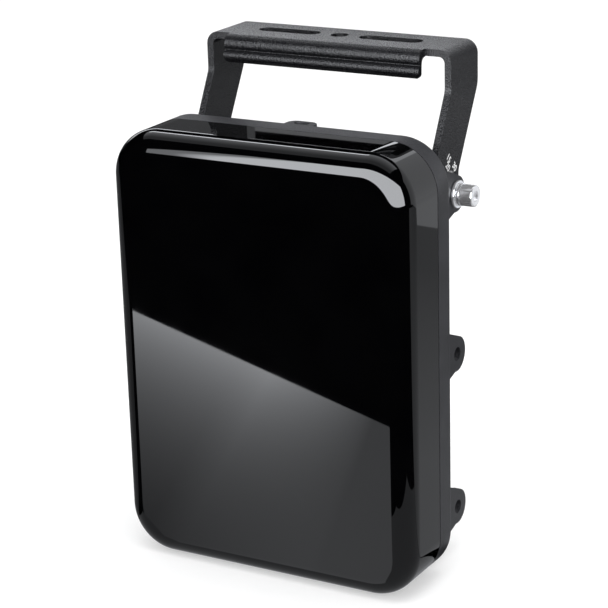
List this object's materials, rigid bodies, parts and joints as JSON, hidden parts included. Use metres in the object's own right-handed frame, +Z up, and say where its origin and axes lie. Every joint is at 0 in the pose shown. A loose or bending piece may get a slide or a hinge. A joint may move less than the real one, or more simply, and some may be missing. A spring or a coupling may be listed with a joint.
{
  "type": "cellular signal booster",
  "caption": "Panel-type cellular signal booster with a glossy cover on a finned cast housing, hung in a tilting yoke bracket.",
  "frame": {"origin": "axis of the strap's round hole, on the strap's top face, where the bracket is bolted up", "axes": "+X to the unit's right seen from the front, +Y to the back, +Z up; the glossy cover faces -Y"},
  "size_m": [0.2028, 0.1273, 0.3141],
  "materials": {
    "bracket_powder": "satin",
    "cast_black": "matte",
    "gloss_black": "gloss",
    "stainless": "satin",
    "brass": "satin",
    "copper": "satin",
    "aluminium": "satin",
    "tinplate": "satin",
    "nylon": "matte",
    "seal_rubber": "matte",
    "thermal_pad": "matte",
    "board_green": "satin",
    "board_white": "satin",
    "clear_lens": "gloss",
    "black_plastic": "matte"
  },
  "bodies": {
    "bracket": {"yoke_bracket": "bracket_powder", "pivot_nut_left": "stainless", "pivot_nut_right": "stainless"},
    "housing": {"rear_housing": "cast_black", "front_cover": "gloss_black", "cover_seal": "seal_rubber", "tether_eye": "cast_black", "cover_screw_1": "stainless", "cover_screw_2": "stainless", "cover_screw_3": "stainless", "cover_screw_4": "stainless", "cover_screw_5": "stainless", "cover_screw_6": "stainless", "tilt_bolt_left": "stainless", "tilt_bolt_right": "stainless", "spring_washer_left": "stainless", "spring_washer_right": "stainless", "flat_washer_left": "stainless", "flat_washer_right": "stainless", "friction_washer_left": "nylon", "friction_washer_right": "nylon", "antenna_board": "board_white", "patch_element_1": "copper", "patch_element_2": "copper", "patch_element_3": "copper", "patch_element_4": "copper", "reflector_plate": "aluminium", "antenna_spacer_1": "nylon", "antenna_spacer_2": "nylon", "antenna_spacer_3": "nylon", "antenna_spacer_4": "nylon", "antenna_standoff_1": "brass", "antenna_standoff_2": "brass", "antenna_standoff_3": "brass", "antenna_standoff_4": "brass", "main_board": "board_green", "board_standoff_1": "brass", "board_standoff_2": "brass", "board_standoff_3": "brass", "board_standoff_4": "brass", "board_screw_1": "stainless", "board_screw_2": "stainless", "board_screw_3": "stainless", "board_screw_4": "stainless", "rf_shield_can": "tinplate", "digital_shield_can": "tinplate", "rf_thermal_pad": "thermal_pad", "digital_thermal_pad": "thermal_pad", "duplexer_block": "aluminium", "power_module": "black_plastic", "data_transformer": "black_plastic", "rf_jumper_left": "copper", "rf_jumper_right": "copper", "data_port": "black_plastic", "dc_inlet": "black_plastic", "vent_plug": "black_plastic", "status_lens": "clear_lens", "ground_screw": "brass"},
    "port_cap": {"data_port_cap": "black_plastic"}
  },
  "joints": [
    {"name": "bracket_tilt", "type": "hinge", "parent": "bracket", "child": "housing", "pos_m": [0, -0.0228, -0.0841], "axis": [1, 0, 0], "range_deg": [-30, 45]},
    {"name": "port_cap_turn", "type": "hinge", "parent": "housing", "child": "port_cap", "pos_m": [0.03, -0.039, -0.2969], "axis": [0, 0, 1], "range_deg": [0, 90]}
  ]
}
